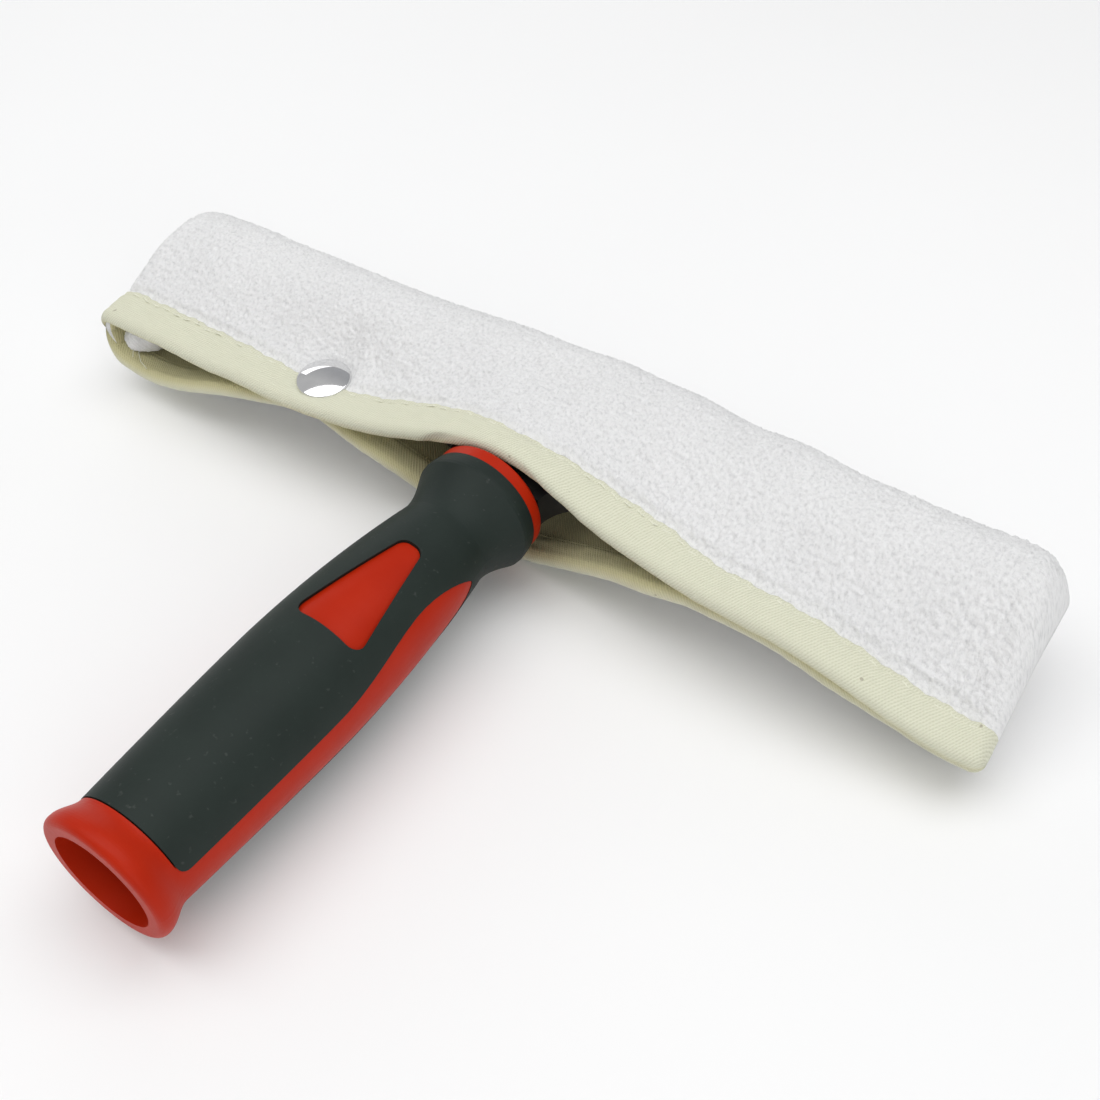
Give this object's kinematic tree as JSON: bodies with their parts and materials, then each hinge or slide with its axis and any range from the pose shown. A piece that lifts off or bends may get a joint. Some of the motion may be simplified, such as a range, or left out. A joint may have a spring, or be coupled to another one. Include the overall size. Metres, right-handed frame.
{
  "type": "t-bar applicator",
  "caption": "Two-material grip with a pole socket, a T-bar that turns in it, and a fleece sleeve wrapped over the bar and closed by a press-stud flap.",
  "frame": {"origin": "centre of the pole socket's mouth, on the grip's axis", "axes": "+Y along the grip towards the T-bar, +X along the bar towards the sewn end of the sleeve, +Z out of the face that carries the press stud"},
  "size_m": [0.269, 0.1816, 0.0377],
  "materials": {
    "red_plastic": "satin moulded",
    "soft_skin": "matte soft touch",
    "black_plastic": "fine matte moulded",
    "steel": "zinc plated",
    "pile": "short dense pile",
    "twill": "woven twill",
    "binding": "woven twill tape",
    "thread": "twisted thread",
    "snap_metal": "nickel plated",
    "chrome": "polished"
  },
  "bodies": {
    "handle": {"handle_core": "red_plastic", "grip_overmould": "soft_skin"},
    "head": {"t_bar": "black_plastic", "retaining_screw": "steel", "screw_washer": "steel"},
    "sleeve": {"pile_shell": "pile", "sleeve_lining": "twill", "upper_binding": "binding", "lower_binding": "binding", "left_end_seam": "pile", "right_end_seam": "pile", "upper_topstitch": "thread", "lower_topstitch": "thread", "closing_seam": "thread", "snap_stud": "snap_metal", "snap_eyelet": "snap_metal"},
    "flap": {"flap_shell": "pile", "flap_lining": "twill", "flap_binding": "binding", "flap_topstitch": "thread", "snap_cap": "chrome", "snap_socket": "snap_metal"}
  },
  "joints": [
    {"name": "head_turn", "type": "hinge", "parent": "handle", "child": "head", "pos_m": [0, 0.13, 0], "axis": [0, 1, 0], "continuous": true},
    {"name": "sleeve_play", "type": "slide", "parent": "head", "child": "sleeve", "axis": [1, 0, 0], "range_m": [-0.002, 0.005]},
    {"name": "flap_lift", "type": "hinge", "parent": "sleeve", "child": "flap", "pos_m": [-0.035, 0.182, 0.005], "axis": [-1, 0, 0], "range_deg": [0, 28]}
  ]
}
